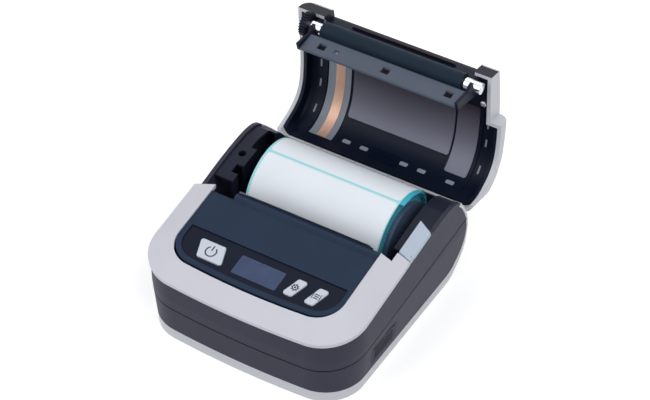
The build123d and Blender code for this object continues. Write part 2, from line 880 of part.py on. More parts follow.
front_wall_top = platen_z + platen_radius + 1.0
with BuildPart() as lid_liner:
    add(lid_volume(shell_thickness + liner_gap, lid_floor + 3))
    add(lid_volume(shell_thickness + liner_gap + liner_thickness, hinge_z - 20), mode=Mode.SUBTRACT)
    with BuildSketch(Plane.XY):
        with Locations((0, lid_edge)):
            Rectangle(2 * (ear_inner + ear_wall + liner_gap), wide, align=(Align.CENTER, Align.MAX))
    extrude(amount=tall, mode=Mode.SUBTRACT)
    with BuildSketch(Plane.XY.offset(front_wall_top)):
        with Locations((0, lid_edge)):
            Rectangle(2 * (ear_inner - liner_gap), liner_thickness, align=(Align.CENTER, Align.MIN))
    extrude(amount=6.0)
    add(rim_cutter.part, mode=Mode.SUBTRACT)
    with BuildSketch(Plane.XY):
        with Locations((lever_notch_inner - notch_wall - liner_gap, lever_notch_rear + notch_wall + liner_gap)):
            Rectangle(wide, wide, align=(Align.MIN, Align.MAX))
    extrude(amount=tall, mode=Mode.SUBTRACT)
    add(cheeks.part)
    with BuildSketch(Plane.XY.offset(front_wall_top + 1)):
        with Locations((0, arm_end)):
            Rectangle(2 * (ear_inner + ear_wall + liner_gap), 6.9, align=(Align.CENTER, Align.MIN))
            Rectangle(2 * (ear_inner - liner_gap), 8, align=(Align.CENTER, Align.MIN), mode=Mode.SUBTRACT)
    extrude(amount=tall, mode=Mode.SUBTRACT)
    clear_knuckles("body")
    clear_gear()
swing_open(lid_liner)
write(lid_liner, "lid_liner")

# Sensor strip on the liner, with the copper flex along its middle
strip_inset = shell_thickness + liner_gap + liner_thickness


strip_floor = hinge_z + 12.0


def lay_on_liner(low_x, high_x, inset, thickness, front_y, rear_y):
    """A thin strip that follows the liner's inner face."""
    with BuildPart() as strip:
        add(lid_volume(inset, hinge_z))
        add(lid_volume(inset + thickness, hinge_z - 20), mode=Mode.SUBTRACT)
        with BuildSketch(Plane.XY.offset(strip_floor)):
            with Locations((low_x, front_y)):
                Rectangle(high_x - low_x, rear_y - front_y, align=(Align.MIN, Align.MIN))
        extrude(amount=tall, mode=Mode.INTERSECT)
    return strip.part


with BuildPart() as sensor_strip:
    strip_right = strip_left + strip_width
    add(lay_on_liner(strip_left, strip_right, strip_inset, strip_thickness, strip_front, strip_rear))
swing_open(sensor_strip)
write(sensor_strip, "sensor_strip")

with BuildPart() as sensor_flex:
    flex_right = flex_left + flex_width
    flex_inset = strip_inset + strip_thickness
    add(lay_on_liner(flex_left, flex_right, flex_inset, flex_thickness, strip_front - 1, strip_rear))
swing_open(sensor_flex)
write(sensor_flex, "sensor_flex")

with BuildPart() as hinge_pin:
    pin_half = 2.5 * knuckle_pitch
    with BuildSketch(Plane.YZ.offset(-pin_half)):
        with Locations((hinge_y, hinge_z)):
            Circle(hinge_pin_radius)
    extrude(amount=2 * pin_half)
write(hinge_pin, "hinge_pin")

# Platen: rubber roller, steel shaft, bushes in the lid's cheeks and a gear on the left end
roller_half = platen_length / 2


def platen_sketch_plane(x):
    """A plane across the platen's axis at x."""
    return Plane.YZ.offset(x)


def turned_piece(low_x, high_x, outer, inner):
    """A tube along the platen's axis."""
    with BuildPart() as tube:
        with BuildSketch(platen_sketch_plane(low_x)):
            with Locations((platen_y, platen_z)):
                Circle(outer)
                if inner > 0:
                    Circle(inner, mode=Mode.SUBTRACT)
        extrude(amount=high_x - low_x)
    return tube.part


with BuildPart() as platen_roller:
    add(turned_piece(-roller_half, roller_half, platen_radius, shaft_radius + running_gap))
swing_open(platen_roller)
write(platen_roller, "platen_roller")

with BuildPart() as platen_shaft:
    add(turned_piece(shaft_left, shaft_right, shaft_radius, 0))
swing_open(platen_shaft)
write(platen_shaft, "platen_shaft")

with BuildPart() as left_bush:
    add(turned_piece(-cheek_inner - 2.4, -roller_half - 1.0, bush_radius, shaft_radius + running_gap))
swing_open(left_bush)
write(left_bush, "left_bush")

with BuildPart() as right_bush:
    add(turned_piece(roller_half + 1.0, shaft_right - 0.2, bush_radius, shaft_radius + running_gap))
swing_open(right_bush)
write(right_bush, "right_bush")


# Gears
def gear_face(teeth, module, bore):
    """A gear's face with a tooth centred on +X, slim enough to run with some slack."""
    pitch = module * teeth / 2
    tip = pitch + 0.8 * module
    root = pitch - 1.5 * module
    share = 360 / teeth
    points = []
    for i in range(teeth):
        for radius, turn in ((root, -0.32), (tip, -0.13), (tip, 0.13), (root, 0.32)):
            angle = radians((i + turn) * share)
            points.append((radius * cos(angle), radius * sin(angle)))
    Polygon(*points, align=None)
    Circle(bore, mode=Mode.SUBTRACT)


def meshed_turn(turn, angle, teeth, next_teeth):
    """How far the next gear is turned so that its gap takes this gear's tooth."""
    return angle + 180 + (angle - turn) * teeth / next_teeth + 180 / next_teeth


def from_centre(centre, angle, distance):
    """A point at an angle and distance from a centre, in y and z."""
    return (centre[0] + distance * cos(radians(angle)), centre[1] + distance * sin(radians(angle)))


def cut_gear(centre, teeth, turn, bore):
    """A gear across X, at its centre and turned to mesh."""
    with BuildPart() as gear:
        tooth_direction = (0, cos(radians(turn)), sin(radians(turn)))
        with BuildSketch(Plane(origin=(gear_plane, *centre), x_dir=tooth_direction, z_dir=(1, 0, 0))):
            gear_face(teeth, gear_module, bore)
        extrude(amount=gear_thickness)
    return gear.part


gear_reach = gear_module * gear_teeth + mesh_slack
pinion_reach = gear_module * (gear_teeth + pinion_teeth) / 2 + mesh_slack
drive_centre = from_centre((platen_y, platen_z), drive_angle, gear_reach)
idler_centre = from_centre(drive_centre, idler_angle, gear_reach)
motor_centre = from_centre(idler_centre, motor_angle, pinion_reach)
drive_turn = meshed_turn(drive_angle, drive_angle, gear_teeth, gear_teeth)
idler_turn = meshed_turn(drive_turn, idler_angle, gear_teeth, gear_teeth)
motor_turn = meshed_turn(idler_turn, motor_angle, gear_teeth, pinion_teeth)

with BuildPart() as platen_gear:
    add(cut_gear((platen_y, platen_z), gear_teeth, drive_angle, shaft_radius + running_gap))
swing_open(platen_gear)
write(platen_gear, "platen_gear")

with BuildPart() as drive_gear:
    add(cut_gear(drive_centre, gear_teeth, drive_turn, stud_radius + running_gap))
write(drive_gear, "drive_gear")

with BuildPart() as idler_gear:
    add(cut_gear(idler_centre, gear_teeth, idler_turn, stud_radius + running_gap))
write(idler_gear, "idler_gear")

with BuildPart() as motor_pinion:
    add(cut_gear(motor_centre, pinion_teeth, motor_turn, 0.5))
    with BuildSketch(Plane.YZ.offset(gear_plane - 0.4)):
        with Locations(motor_centre):
            Circle(stud_radius)
    extrude(amount=plate_thickness + 12)
write(motor_pinion, "motor_pinion")

# Steel frame of the mechanism: two side plates, a crossbar and the gear studs
floor_top = foot_proud + floor_thickness
seat_radius = bush_radius + notch_gap
with BuildPart() as mechanism_frame:
    left_plate = (-plate_inner - plate_thickness, motor_centre[0] - motor_radius - 1)
    right_plate = (plate_inner, crossbar_rear + 0.5)
    for side_x, plate_front in (left_plate, right_plate):
        with BuildSketch(side_plane.offset(side_x)):
            Polygon(
                (plate_front, floor_top),
                (-0.5, floor_top),
                (-0.5, platen_z - 5.3),
                (seat_rear, platen_z - 5.1),
                (seat_rear, platen_z),
                (platen_y - seat_radius, plate_top),
                (crossbar_rear - plate_thickness, plate_top),
                (crossbar_rear - plate_thickness, platen_z - 7.5),
                (plate_front, platen_z - 7.5),
                align=None,
            )
            with Locations((platen_y, platen_z)):
                Circle(seat_radius, mode=Mode.SUBTRACT)
            with Locations((platen_y - seat_radius, platen_z)):
                Rectangle(seat_radius * 2, tall, align=(Align.MIN, Align.MIN), mode=Mode.SUBTRACT)
            if side_x < 0:
                with Locations(motor_centre):
                    Circle(stud_radius + 1, mode=Mode.SUBTRACT)
        extrude(amount=plate_thickness)
    with BuildSketch(Plane.XZ.offset(-crossbar_rear)):
        with Locations((0, plate_top)):
            Rectangle(2 * plate_inner + 0.4, crossbar_height, align=(Align.CENTER, Align.MAX))
    extrude(amount=plate_thickness)
    for centre in (drive_centre, idler_centre):
        with BuildSketch(Plane.YZ.offset(-plate_inner - plate_thickness)):
            with Locations(centre):
                Circle(stud_radius * 2)
        extrude(amount=-(-plate_inner - plate_thickness - gear_plane - gear_thickness - 0.2))
        with BuildSketch(Plane.YZ.offset(gear_plane - 0.4)):
            with Locations(centre):
                Circle(stud_radius)
        extrude(amount=gear_thickness + 2)
write(mechanism_frame, "mechanism_frame")

with BuildPart() as feed_motor:
    with BuildSketch(Plane.YZ.offset(-plate_inner)):
        with Locations(motor_centre):
            Circle(motor_radius)
            Circle(stud_radius + running_gap, mode=Mode.SUBTRACT)
    extrude(amount=motor_length)
    with BuildSketch(Plane.YZ.offset(-plate_inner)):
        with Locations(motor_centre):
            SlotOverall(2 * motor_radius + 6, 5.0)
            Circle(motor_radius - 1, mode=Mode.SUBTRACT)
    extrude(amount=1.2)
write(feed_motor, "feed_motor")

# Print head against the platen, its heat sink and its leaf spring
head_face = platen_y - platen_radius - head_gap
head_low = platen_z - head_height / 2
sink_front = head_face - head_thickness - sink_thickness
with BuildPart() as print_head:
    with BuildSketch(Plane.XZ.offset(-head_face)):
        with Locations((0, head_low)):
            Rectangle(head_length, head_height, align=(Align.CENTER, Align.MIN))
    extrude(amount=head_thickness)
write(print_head, "print_head")

with BuildPart() as heat_sink:
    with BuildSketch(Plane.XZ.offset(-head_face + head_thickness)):
        with Locations((0, head_low - 2)):
            Rectangle(head_length, head_height + 2, align=(Align.CENTER, Align.MIN))
    extrude(amount=sink_thickness)
    with BuildSketch(Plane.XZ.offset(-sink_front)):
        for fin in range(3):
            with Locations((0, head_low + 0.5 + 2.6 * fin)):
                Rectangle(head_length, 1.2, align=(Align.CENTER, Align.MIN))
    extrude(amount=-sink_thickness / 2, mode=Mode.SUBTRACT)
write(heat_sink, "heat_sink")

with BuildPart() as head_spring:
    spring_room = sink_front - crossbar_rear
    with BuildSketch(Plane.XY.offset(platen_z - 3)):
        with BuildLine():
            Polyline(
                (-24, crossbar_rear + 0.1),
                (-8, crossbar_rear + 0.1),
                (0, sink_front - 0.5),
                (8, crossbar_rear + 0.1),
                (24, crossbar_rear + 0.1),
                (24, crossbar_rear + 0.5),
                (8.2, crossbar_rear + 0.5),
                (0, sink_front - 0.1),
                (-8.2, crossbar_rear + 0.5),
                (-24, crossbar_rear + 0.5),
                close=True,
            )
        make_face()
    extrude(amount=5)
write(head_spring, "head_spring")

# Sensor bracket across the lid, between the cheeks
with BuildPart() as sensor_bracket:
    with BuildSketch(side_plane.offset(-cheek_inner)):
        Polygon(
            bracket_high,
            bracket_low,
            (bracket_low[0] + bracket_thickness, bracket_low[1]),
            (bracket_high[0] + bracket_thickness, bracket_high[1]),
            align=None,
        )
    extrude(amount=2 * cheek_inner)
    mid_z = (bracket_low[1] + bracket_high[1]) / 2
    with BuildSketch(Plane.XZ):
        window_places = [(share * plate_inner, mid_z) for share in (-0.82, 0.05, 0.893)]
        with Locations(*window_places):
            Rectangle(4.4, 4.0)
        with Locations((-0.62 * plate_inner, mid_z)):
            Rectangle(2.4, 2.4)
    extrude(amount=-20, mode=Mode.SUBTRACT)
swing_open(sensor_bracket)
write(sensor_bracket, "sensor_bracket")

# Paper bay: a trough under the roll, side walls and the decks beside it
trough_inner = roll_radius + bay_clearance
trough_outer = trough_inner + bay_thickness
bay_half_outer = bay_half_width + bay_thickness
bay_rear = half_depth - rear_skin - wall - joint_gap
deck_curve = [(y, z - deck_drop) for y, z in rim_points() if y < skin_top + 5]
deck_curve.append((bay_rear, deck_curve[-1][1] - 6.0))
deck_outer = half_body - wall - joint_gap
with BuildPart() as paper_bay:
    with BuildSketch(side_plane.offset(-bay_half_outer)):
        Polygon(*deck_curve, (bay_rear, roll_z), (arm_end, roll_z), align=None)
        with Locations((roll_y, roll_z)):
            Circle(trough_outer)
        with Locations((bay_rear, 0)):
            Rectangle(tall, 2 * tall, align=(Align.MIN, Align.CENTER), mode=Mode.SUBTRACT)
        with Locations((bay_front, bay_lip)):
            Rectangle(tall, tall, align=(Align.MAX, Align.MIN), mode=Mode.SUBTRACT)
        with BuildLine() as deck_line:
            Polyline(*deck_curve, (bay_rear, tall), (arm_end, tall), close=True)
        make_face(deck_line.edges(), mode=Mode.SUBTRACT)
    extrude(amount=2 * bay_half_outer)
    with BuildSketch(side_plane.offset(-bay_half_width)):
        with Locations((roll_y, roll_z)):
            Circle(trough_inner)
            Rectangle(2 * trough_inner, tall, align=(Align.CENTER, Align.MIN))
    extrude(amount=2 * bay_half_width, mode=Mode.SUBTRACT)
    for low_x in (-deck_outer, bay_half_width):
        with BuildSketch(side_plane.offset(low_x)):
            with BuildLine() as deck_band:
                lower = [(y, z - deck_thickness) for y, z in deck_curve]
                Polyline(*deck_curve, *lower[::-1], close=True)
            make_face(deck_band.edges())
            with Locations((bay_front, 0)):
                Rectangle(tall, 2 * tall, align=(Align.MAX, Align.CENTER), mode=Mode.SUBTRACT)
        extrude(amount=deck_outer - bay_half_width)
    with BuildSketch(Plane.XY):
        with Locations((lever_inner - 0.3, lever_notch_rear + 0.3)):
            Rectangle(wide, wide, align=(Align.MIN, Align.MAX))
    extrude(amount=tall, mode=Mode.SUBTRACT)
    with BuildSketch(Plane.XY):
        slot_middle = slot_front + slot_width / 2
        guide_inner = roll_length / 2 + guide_gap
        slot_length = guide_thickness + guide_travel + 0.8
        for side in (-1, 1):
            with Locations((side * (guide_inner - 0.4 + slot_length / 2), roll_y + side * slot_middle)):
                Rectangle(slot_length, slot_width + 0.6)
    extrude(amount=roll_z - trough_inner + 4, mode=Mode.SUBTRACT)
    deck_middle = (bay_half_width + deck_outer) / 2
    with BuildSketch(Plane.XY.offset(roll_z)):
        with Locations((-deck_middle, roll_y - 5.0)):
            Circle(deck_hole_radius)
        with Locations((-bay_half_width, roll_y - 14.5)):
            Rectangle(2 * bay_thickness + 6.0, 5.4)
        with Locations((-bay_half_width, roll_y + 9.0)):
            Rectangle(2 * bay_thickness + 5.0, 17.0)
    extrude(amount=tall, mode=Mode.SUBTRACT)
    add(cavity.part, mode=Mode.INTERSECT)
write(paper_bay, "paper_bay")

# Roll of labels on its core
with BuildPart() as label_roll:
    with BuildSketch(side_plane.offset(-roll_length / 2)):
        with Locations((roll_y, roll_z)):
            Circle(roll_radius)
            Circle(core_radius + core_thickness + running_gap, mode=Mode.SUBTRACT)
    extrude(amount=roll_length)
write(label_roll, "label_roll")

with BuildPart() as roll_core:
    with BuildSketch(side_plane.offset(-roll_length / 2)):
        with Locations((roll_y, roll_z)):
            Circle(core_radius + core_thickness)
            Circle(core_radius, mode=Mode.SUBTRACT)
    extrude(amount=roll_length)
write(roll_core, "roll_core")

# Guides with their racks, and the pinion that keeps them centred
pinion_pitch = rack_module * rack_teeth / 2
rack_line = pinion_pitch + mesh_slack
tooth_spacing = pi * rack_module
rack_tooth_count = 16
rack_end = (rack_tooth_count / 2 - 2.5) * tooth_spacing


def guide_shape(side):
    """One guide: disc, boss, neck and rack; side is -1 for the left one and 1 for the right."""
    inner = side * (roll_length / 2 + guide_gap)
    outer = inner + side * guide_thickness
    low = min(inner, outer)
    with BuildPart() as guide:
        with BuildSketch(side_plane.offset(low)):
            with Locations((roll_y, roll_z)):
                Circle(guide_radius)
            with Locations((roll_y + side * slot_front, rack_low)):
                edge = Align.MIN if side > 0 else Align.MAX
                Rectangle(slot_width, roll_z - rack_low, align=(edge, Align.MIN))
        extrude(amount=guide_thickness)
        with BuildSketch(side_plane.offset(min(inner, inner - side * guide_boss_length))):
            with Locations((roll_y, roll_z)):
                Circle(guide_boss_radius)
                Circle(guide_boss_radius - guide_boss_wall, mode=Mode.SUBTRACT)
        extrude(amount=guide_boss_length)
        with BuildSketch(Plane.XY.offset(rack_low)):
            back = roll_y + side * (slot_front + slot_width)
            root = roll_y + side * (rack_line + 0.5)
            far = -side * rack_end
            Polygon((outer, back), (outer, root), (far, root), (far, back), align=None)
            for i in range(rack_tooth_count):
                x = far + side * (i + 1.0) * tooth_spacing
                x = side * tooth_spacing * (round(x / (side * tooth_spacing) - 0.5) + 0.5)
                tip = roll_y + side * (rack_line - 0.8 * rack_module)
                Polygon((x - 0.42, root), (x - 0.17, tip), (x + 0.17, tip), (x + 0.42, root), align=None)
        extrude(amount=rack_thickness)
    return guide.part


for name, side in (("left_guide", -1), ("right_guide", 1)):
    with BuildPart() as guide_piece:
        add(guide_shape(side))
    write(guide_piece, name)

with BuildPart() as guide_pinion:
    with BuildSketch(Plane(origin=(0, roll_y, rack_low), x_dir=(0, 1, 0), z_dir=(0, 0, 1))):
        gear_face(rack_teeth, rack_module, stud_radius + running_gap)
    extrude(amount=rack_thickness)
write(guide_pinion, "guide_pinion")

# Boards, ports, display module and battery
with BuildPart() as main_board:
    with BuildSketch(Plane.XY.offset(board_z)):
        with Locations((board_x, board_y)):
            Rectangle(board_width, board_length)
    extrude(amount=board_thickness)
write(main_board, "main_board")

board_edge = board_x + board_width / 2
port_reach = half_body - base_inset - port_thickness - 0.3
for name, middle_y, width, height in (("usb_port", -17.0, 8.0, 3.2), ("power_port", -27.0, 9.0, 9.0)):
    with BuildPart() as port_piece:
        with BuildSketch(Plane.YZ.offset(board_edge - 3.5)):
            with Locations((middle_y, board_z)):
                Rectangle(width, height, align=(Align.CENTER, Align.MAX))
            with Locations((middle_y, board_z - 0.6)):
                Rectangle(width - 1.2, height - 1.2, align=(Align.CENTER, Align.MAX), mode=Mode.SUBTRACT)
        extrude(amount=port_reach - board_edge + 3.5)
        with BuildSketch(Plane.YZ.offset(board_edge - 3.5)):
            with Locations((middle_y, board_z)):
                Rectangle(width, height, align=(Align.CENTER, Align.MAX))
        extrude(amount=1)
    write(port_piece, name)

with BuildPart() as key_board:
    with BuildSketch(on_fascia(0, -key_board_depth)):
        Rectangle(key_board_length, key_board_width)
    extrude(amount=-1.0)
    for key_x, width, lean in key_places.values():
        with BuildSketch(on_fascia(key_x, -key_board_depth)):
            Circle(switch_radius)
        extrude(amount=switch_height)
write(key_board, "key_board")

with BuildPart() as display_module:
    with BuildSketch(on_fascia(display_x, -fascia_thickness - 0.1)):
        Rectangle(display_width + 2, display_length + 1)
    extrude(amount=-(key_board_depth - fascia_thickness - 0.2))
write(display_module, "display_module")

latch_y = bay_high_y + 5
battery_height = motor_centre[1] - motor_radius - battery_room
with BuildPart() as battery_pack:
    with BuildSketch(Plane.XY.offset(foot_proud)):
        with Locations((battery_x, battery_y)):
            RectangleRounded(battery_width - 2 * lid_gap, battery_length - 2 * lid_gap, 3 - lid_gap)
    extrude(amount=battery_height)
    with BuildSketch(Plane.XY.offset(floor_top)):
        with Locations((battery_x, bay_high_y - lid_gap)):
            Rectangle(10.6, 2 * (tongue_depth + 0.3))
    extrude(amount=1.8, mode=Mode.SUBTRACT)
write(battery_pack, "battery_pack")

with BuildPart() as battery_latch:
    with BuildSketch(Plane.XY.offset(foot_proud)):
        with Locations((battery_x, latch_y - 3 + 0.3)):
            Rectangle(13.4, 3.0, align=(Align.CENTER, Align.MIN))
    extrude(amount=floor_thickness + 0.4)
    with BuildSketch(Plane.XY.offset(floor_top + 0.3)):
        with Locations((battery_x, bay_high_y + 0.5)):
            Rectangle(17, 8, align=(Align.CENTER, Align.MIN))
        with Locations((battery_x, bay_high_y - lid_gap - tongue_depth)):
            Rectangle(10, 3, align=(Align.CENTER, Align.MIN))
    extrude(amount=1.2)
write(battery_latch, "battery_latch")
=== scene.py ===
import math

import bmesh
import bpy
from mathutils import Matrix, Vector


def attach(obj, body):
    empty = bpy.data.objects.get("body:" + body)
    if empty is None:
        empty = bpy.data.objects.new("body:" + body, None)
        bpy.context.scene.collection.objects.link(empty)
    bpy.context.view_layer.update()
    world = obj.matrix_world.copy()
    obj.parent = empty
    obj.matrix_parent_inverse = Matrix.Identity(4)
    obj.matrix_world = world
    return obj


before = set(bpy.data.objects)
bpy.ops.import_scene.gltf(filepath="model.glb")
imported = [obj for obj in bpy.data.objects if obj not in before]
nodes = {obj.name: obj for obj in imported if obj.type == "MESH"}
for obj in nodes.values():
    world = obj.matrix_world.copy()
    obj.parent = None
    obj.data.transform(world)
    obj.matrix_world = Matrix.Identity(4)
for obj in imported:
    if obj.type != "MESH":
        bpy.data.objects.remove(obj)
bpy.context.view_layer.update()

# Lengths of the part, in mm; MM turns them into metres
MM = 0.001
half_body, half_depth = 59.0, 61.75
front_corner, rear_corner = 23.0, 12.0
bow_centre_y, bow_radius = 439.98, 501.73
foot_proud = 0.25
taper_height, taper_inset = 28.0, 2.0
seam_height, seam_slope, seam_rear = 28.1, math.radians(6.0), 59.2
heel_radius = 20.0
panel_tilt = math.radians(10.2)
key_y = -39.7

# Lid: hinge as (y, z), the bends of its crown as (radius, first and last slope in degrees), liner under it
hinge = (65.25, 31.5)
lid_open = math.radians(98)
crown_start = (-4.7, 55.6)
crown_bends = [(278.0, 18.0, 14.0), (111.6, 14.0, 0.0), (32.0, 0.0, -25.0), (23.0, -25.0, -90.0)]
liner_inset = 3.9

# Roll: its axis as (y, z) and its radius
roll = (30.5, 33.0, 25.2)

# The part's rim curve at the rear, as (y, z), from the crown down to the hinge
rim_line = [
    (46.75, 52.69),
    (50.0, 51.05),
    (52.84, 48.76),
    (55.24, 46.02),
    (57.27, 42.99),
    (59.03, 39.79),
    (60.45, 36.43),
    (61.41, 32.91),
    (61.75, 30.5),
]


# Materials
soft_edge = 0.0003


def srgb(r, g, b):
    """A colour given as 8-bit display values, in linear light."""
    out = []
    for v in (r, g, b):
        v /= 255
        out.append(v / 12.92 if v <= 0.04045 else ((v + 0.055) / 1.055) ** 2.4)
    return (*out, 1)


class Nodes:
    """Short calls for building one material's nodes."""

    def __init__(self, name):
        self.mat = bpy.data.materials.new(name)
        self.mat.use_nodes = True
        self.tree = self.mat.node_tree
        self.shader = self.tree.nodes["Principled BSDF"]
        self.place = self.tree.nodes.new("ShaderNodeTexCoord").outputs["Object"]

    def link(self, a, b):
        self.tree.links.new(a, b)

    def node(self, kind, **settings):
        made = self.tree.nodes.new(kind)
        for key, value in settings.items():
            setattr(made, key, value)
        return made

    def scaled(self, x, y, z, turn=(0, 0, 0)):
        mapping = self.node("ShaderNodeMapping")
        mapping.inputs["Scale"].default_value = (x, y, z)
        mapping.inputs["Rotation"].default_value = turn
        self.link(self.place, mapping.inputs["Vector"])
        return mapping.outputs["Vector"]

    def axes(self):
        split = self.node("ShaderNodeSeparateXYZ")
        self.link(self.place, split.inputs[0])
        return split.outputs["X"], split.outputs["Y"], split.outputs["Z"]

    def noise(self, scale, detail=3, roughness=0.55, vector=None):
        noise = self.node("ShaderNodeTexNoise")
        noise.inputs["Scale"].default_value = scale
        noise.inputs["Detail"].default_value = detail
        noise.inputs["Roughness"].default_value = roughness
        self.link(vector or self.place, noise.inputs["Vector"])
        return noise.outputs["Fac"]

    def ramp(self, value, stops):
        ramp = self.node("ShaderNodeValToRGB")
        while len(ramp.color_ramp.elements) < len(stops):
            ramp.color_ramp.elements.new(0.5)
        for element, (position, colour) in zip(ramp.color_ramp.elements, stops):
            element.position = position
            element.color = colour if len(colour) == 4 else (*colour, 1)
        self.link(value, ramp.inputs["Fac"])
        return ramp.outputs["Color"]

    def mix(self, factor, a, b, blend="MIX"):
        mix = self.node("ShaderNodeMix", data_type="RGBA", blend_type=blend)
        for socket, value in ((mix.inputs[0], factor), (mix.inputs[6], a), (mix.inputs[7], b)):
            if hasattr(value, "links"):
                self.link(value, socket)
            else:
                socket.default_value = value
        return mix.outputs[2]

    def math(self, operation, a, b=0.0, c=0.0):
        made = self.node("ShaderNodeMath", operation=operation)
        for socket, value in zip(made.inputs, (a, b, c)):
            if hasattr(value, "links"):
                self.link(value, socket)
            else:
                socket.default_value = value
        return made.outputs[0]

    def spread(self, value, low, high):
        made = self.node("ShaderNodeMapRange")
        made.inputs["To Min"].default_value = low
        made.inputs["To Max"].default_value = high
        self.link(value, made.inputs["Value"])
        return made.outputs["Result"]

    def bump(self, height, strength, distance, edge=0.0):
        made = self.node("ShaderNodeBump")
        if edge:
            soft = self.node("ShaderNodeBevel", samples=4)
            soft.inputs["Radius"].default_value = edge
            self.link(soft.outputs["Normal"], made.inputs["Normal"])
        made.inputs["Strength"].default_value = strength
        made.inputs["Distance"].default_value = distance
        self.link(height, made.inputs["Height"])
        self.link(made.outputs["Normal"], self.shader.inputs["Normal"])

    def set(self, **values):
        for key, value in values.items():
            socket = self.shader.inputs[key.replace("_", " ")]
            if hasattr(value, "links"):
                self.link(value, socket)
            else:
                socket.default_value = value


def moulded(name, colour, rough=0.5, grain=0.00004, grain_size=2600, vary=0.10, specular=0.4):
    """Moulded plastic: spark-eroded grain, faint cloudy colour and uneven gloss."""
    n = Nodes(name)
    cloud = n.noise(38, 4, 0.6)
    dark = tuple(c * (1 - vary) for c in colour[:3]) + (1,)
    light = tuple(min(1, c * (1 + vary)) for c in colour[:3]) + (1,)
    base = n.ramp(cloud, [(0.3, dark), (0.7, light)])
    fine = n.noise(grain_size, 2, 0.5)
    scuff = n.noise(240, 5, 0.7, n.scaled(1, 1, 3))
    n.set(Base_Color=base, Roughness=n.spread(scuff, rough - 0.08, rough + 0.08), Specular_IOR_Level=specular)
    n.bump(fine, 0.35, grain, soft_edge)
    return n.mat


def metal(name, colour, rough=0.25, stretch=(1, 1, 1), metallic=1.0):
    """Steel or aluminium with drawn lines along one way."""
    n = Nodes(name)
    lines = n.noise(900, 4, 0.7, n.scaled(*stretch))
    tint = n.ramp(lines, [(0.2, tuple(c * 0.8 for c in colour[:3])), (0.8, colour)])
    n.set(Base_Color=tint, Roughness=n.spread(lines, rough * 0.7, rough * 1.3), Metallic=metallic)
    n.bump(lines, 0.15, 0.00003)
    return n.mat


def paper(name, colour):
    """Label stock: long fibres under a smooth coat."""
    n = Nodes(name)
    fibre = n.noise(1500, 4, 0.6, n.scaled(0.6, 1, 1))
    cloud = n.noise(45, 2, 0.5)
    soft = n.ramp(cloud, [(0.3, tuple(c * 0.97 for c in colour[:3])), (0.7, colour)])
    n.set(Base_Color=soft, Roughness=n.spread(fibre, 0.5, 0.68))
    n.bump(fibre, 0.2, 0.00003)
    return n.mat


light_plastic = moulded("light_plastic", srgb(208, 209, 219), 0.48, vary=0.02, specular=0.25)
lever_plastic = moulded("lever_plastic", srgb(186, 198, 214), 0.45, vary=0.03, specular=0.25)
rim_plastic = moulded("rim_plastic", srgb(210, 212, 218), 0.42, vary=0.02, specular=0.25)
wall_plastic = moulded("wall_plastic", srgb(55, 56, 71), 0.5, vary=0.08, specular=0.15)
slate_plastic = moulded("slate_plastic", srgb(31, 46, 68), 0.5, vary=0.08, specular=0.15)
fascia_black = moulded("fascia_black", srgb(8, 18, 36), 0.4, grain=0.00002, vary=0.06, specular=0.12)
bay_plastic = moulded("bay_plastic", srgb(28, 33, 48), 0.5, vary=0.1, specular=0.15)
ear_black = moulded("ear_black", srgb(15, 23, 41), 0.42, vary=0.1, specular=0.12)
bracket_grey = moulded("bracket_grey", srgb(80, 88, 104), 0.45, vary=0.06, specular=0.2)
key_grey = moulded("key_grey", srgb(208, 214, 226), 0.55, vary=0.03, specular=0.25)
ink = moulded("ink", srgb(60, 68, 84), 0.5, vary=0.03, specular=0.15)
rubber = moulded("rubber", srgb(38, 38, 42), 0.75, grain=0.00006, grain_size=1500, specular=0.2)
cover_rubber = moulded("cover_rubber", srgb(60, 58, 70), 0.62, grain=0.00005, grain_size=1800, specular=0.15)
gear_plastic = moulded("gear_plastic", srgb(26, 30, 42), 0.45, specular=0.2)
strip_grey = moulded("strip_grey", srgb(138, 146, 158), 0.4, vary=0.08, specular=0.3)
platen_rubber = moulded(
    "platen_rubber", srgb(20, 36, 50), 0.6, grain=0.00005, grain_size=1900, vary=0.08, specular=0.15
)
chrome = metal("chrome", srgb(228, 232, 240), 0.12, (0.05, 1, 1))
steel = metal("steel", srgb(170, 172, 178), 0.3, (0.06, 1, 1))
brass = metal("brass", srgb(205, 170, 95), 0.3)
aluminium = metal("aluminium", srgb(190, 192, 198), 0.35, (0.05, 1, 1))
label_white = paper("label_white", srgb(238, 244, 252))
card = paper("card", srgb(176, 154, 122))


def lens_material():
    """Dark lens over a dim, faintly cloudy screen."""
    n = Nodes("screen_lens")
    cloud = n.noise(110, 2, 0.5)
    colour = n.mix(cloud, srgb(46, 62, 92), srgb(62, 78, 114))
    n.set(Base_Color=colour, Roughness=0.22, Specular_IOR_Level=0.2)
    return n.mat


def liner_material():
    """Inner moulding: warm grey with fine grain; toward the hinge it is painted paler and cooler, as painted
    light where the lower liner catches more light.
    """
    n = Nodes("liner_grey")
    decimetres = n.math("MULTIPLY", n.axes()[2], 10)
    # Painted light: below about 42 mm the liner is painted pale cool grey, blending into the warm grey by 72 mm
    low = n.ramp(decimetres, [(0.42, (1, 1, 1)), (0.72, (0, 0, 0))])
    cloud = n.noise(30, 4, 0.6)
    warm = n.ramp(cloud, [(0.25, srgb(32, 21, 31)), (0.75, srgb(54, 40, 50))])
    base = n.mix(low, warm, srgb(132, 134, 150))
    streak = n.noise(500, 4, 0.7, n.scaled(0.2, 1, 1))
    n.set(Base_Color=base, Roughness=n.spread(streak, 0.34, 0.5), Specular_IOR_Level=0.2)
    n.bump(n.noise(2400, 2, 0.5), 0.3, 0.00004)
    return n.mat


